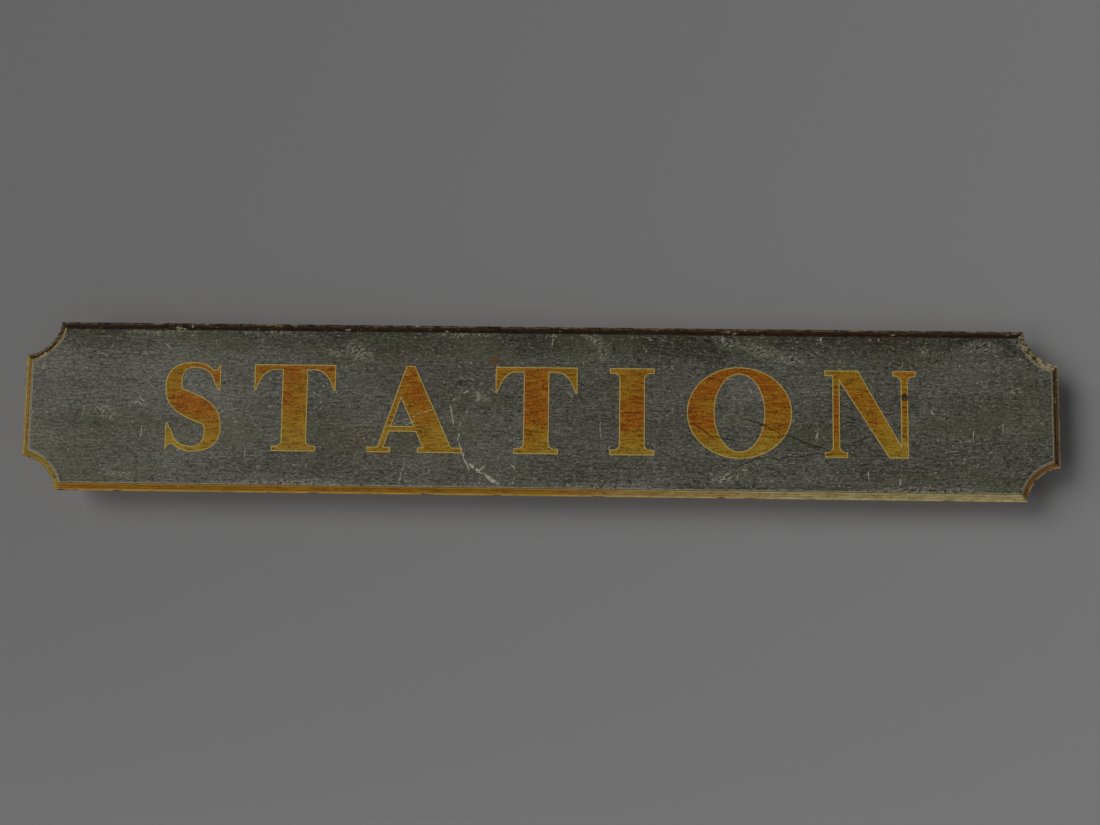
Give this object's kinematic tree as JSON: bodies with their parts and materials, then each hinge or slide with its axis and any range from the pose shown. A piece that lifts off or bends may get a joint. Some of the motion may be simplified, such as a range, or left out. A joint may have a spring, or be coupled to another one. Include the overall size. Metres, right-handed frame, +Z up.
{
  "type": "railway station name board",
  "caption": "Long painted wooden name board with scooped corners, planted edge moulding, shaded Roman letters and back battens with keyhole hanger plates for a wall.",
  "frame": {"origin": "on the wall plane, at the centre of the middle batten's back face", "axes": "+X along the board to the reader's right, +Z up, painted face towards -Y, wall towards +Y"},
  "size_m": [2.438, 0.0504, 0.4],
  "materials": {
    "ground_paint": "weathered grey-green oil paint on pine, matt",
    "gold_paint": "aged gold-ochre sign paint, low sheen",
    "sooted_moulding": "ochre paint blackened by soot, worn",
    "ochre_moulding": "worn ochre oil paint",
    "raw_pine": "aged bare pine",
    "brad_steel": "rusted",
    "screw_steel": "dull, spotted with rust",
    "hanger_iron": "dark, lightly rusted"
  },
  "bodies": {
    "root": {"name_board": "ground_paint", "lettering": "gold_paint", "top_moulding": "sooted_moulding", "bottom_moulding": "ochre_moulding", "left_moulding": "ochre_moulding", "right_moulding": "sooted_moulding", "top_left_scoop_moulding": "sooted_moulding", "top_right_scoop_moulding": "sooted_moulding", "bottom_left_scoop_moulding": "ochre_moulding", "bottom_right_scoop_moulding": "ochre_moulding", "top_brads": "brad_steel", "bottom_brads": "brad_steel", "left_brads": "brad_steel", "right_brads": "brad_steel", "scoop_brads": "brad_steel", "left_batten": "raw_pine", "middle_batten": "raw_pine", "right_batten": "raw_pine", "left_batten_screws": "screw_steel", "middle_batten_screws": "screw_steel", "right_batten_screws": "screw_steel", "left_hanger_plate": "hanger_iron", "right_hanger_plate": "hanger_iron", "left_hanger_screws": "screw_steel", "right_hanger_screws": "screw_steel"}
  },
  "joints": []
}
